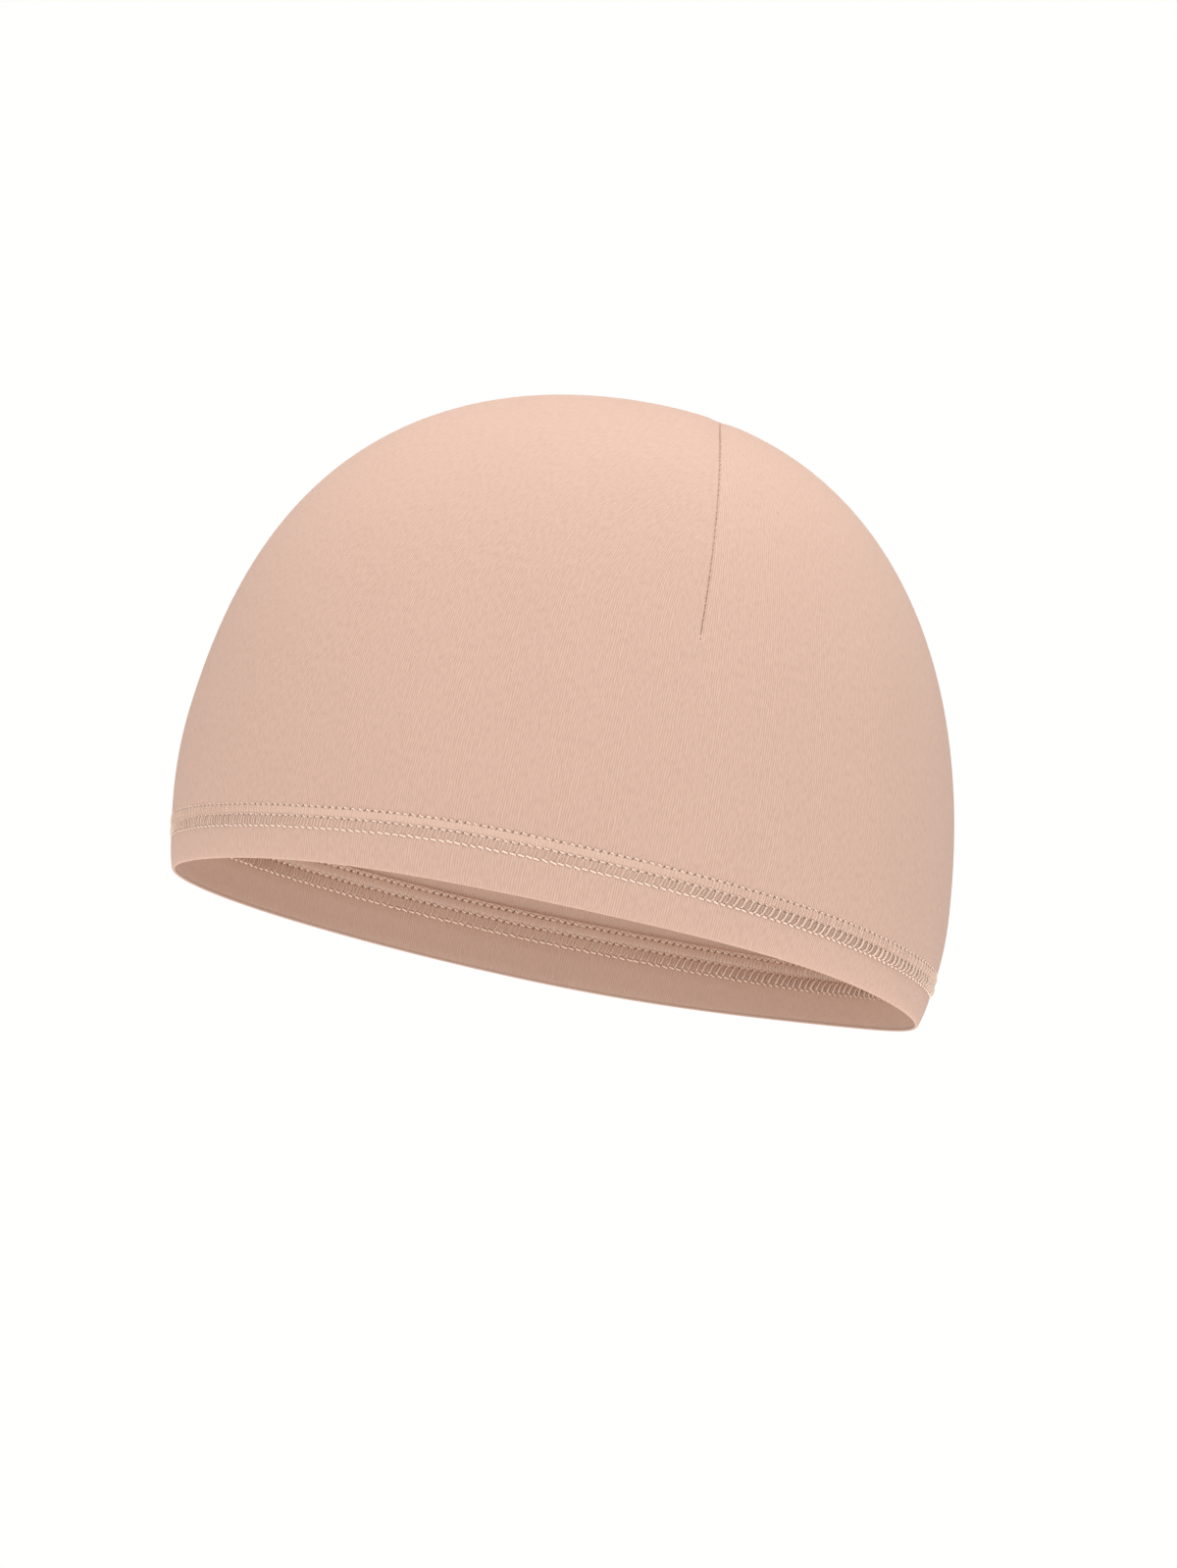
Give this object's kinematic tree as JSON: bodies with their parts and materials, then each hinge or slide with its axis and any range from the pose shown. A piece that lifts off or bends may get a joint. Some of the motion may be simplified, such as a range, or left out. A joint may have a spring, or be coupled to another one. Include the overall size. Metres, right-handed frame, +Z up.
{
  "type": "skull cap",
  "caption": "Close-fitting dome of smooth stretch knit with a dart across the top and a folded hem, in the form it has on a head.",
  "frame": {"origin": "middle of the head opening, in the plane of its edge", "axes": "+Z up as on an upright head, -Y toward the brow, +Y toward the nape, +X the wearer's left; the opening's plane is turned 12 degrees about X, lower at the nape"},
  "size_m": [0.1582, 0.1991, 0.162],
  "materials": {
    "crown_knit": "smooth fine-rib stretch knit with a soft sheen",
    "hem_knit": "the same knit folded double and stitched"
  },
  "bodies": {
    "root": {"crown": "crown_knit", "hem_band": "hem_knit"}
  },
  "joints": []
}
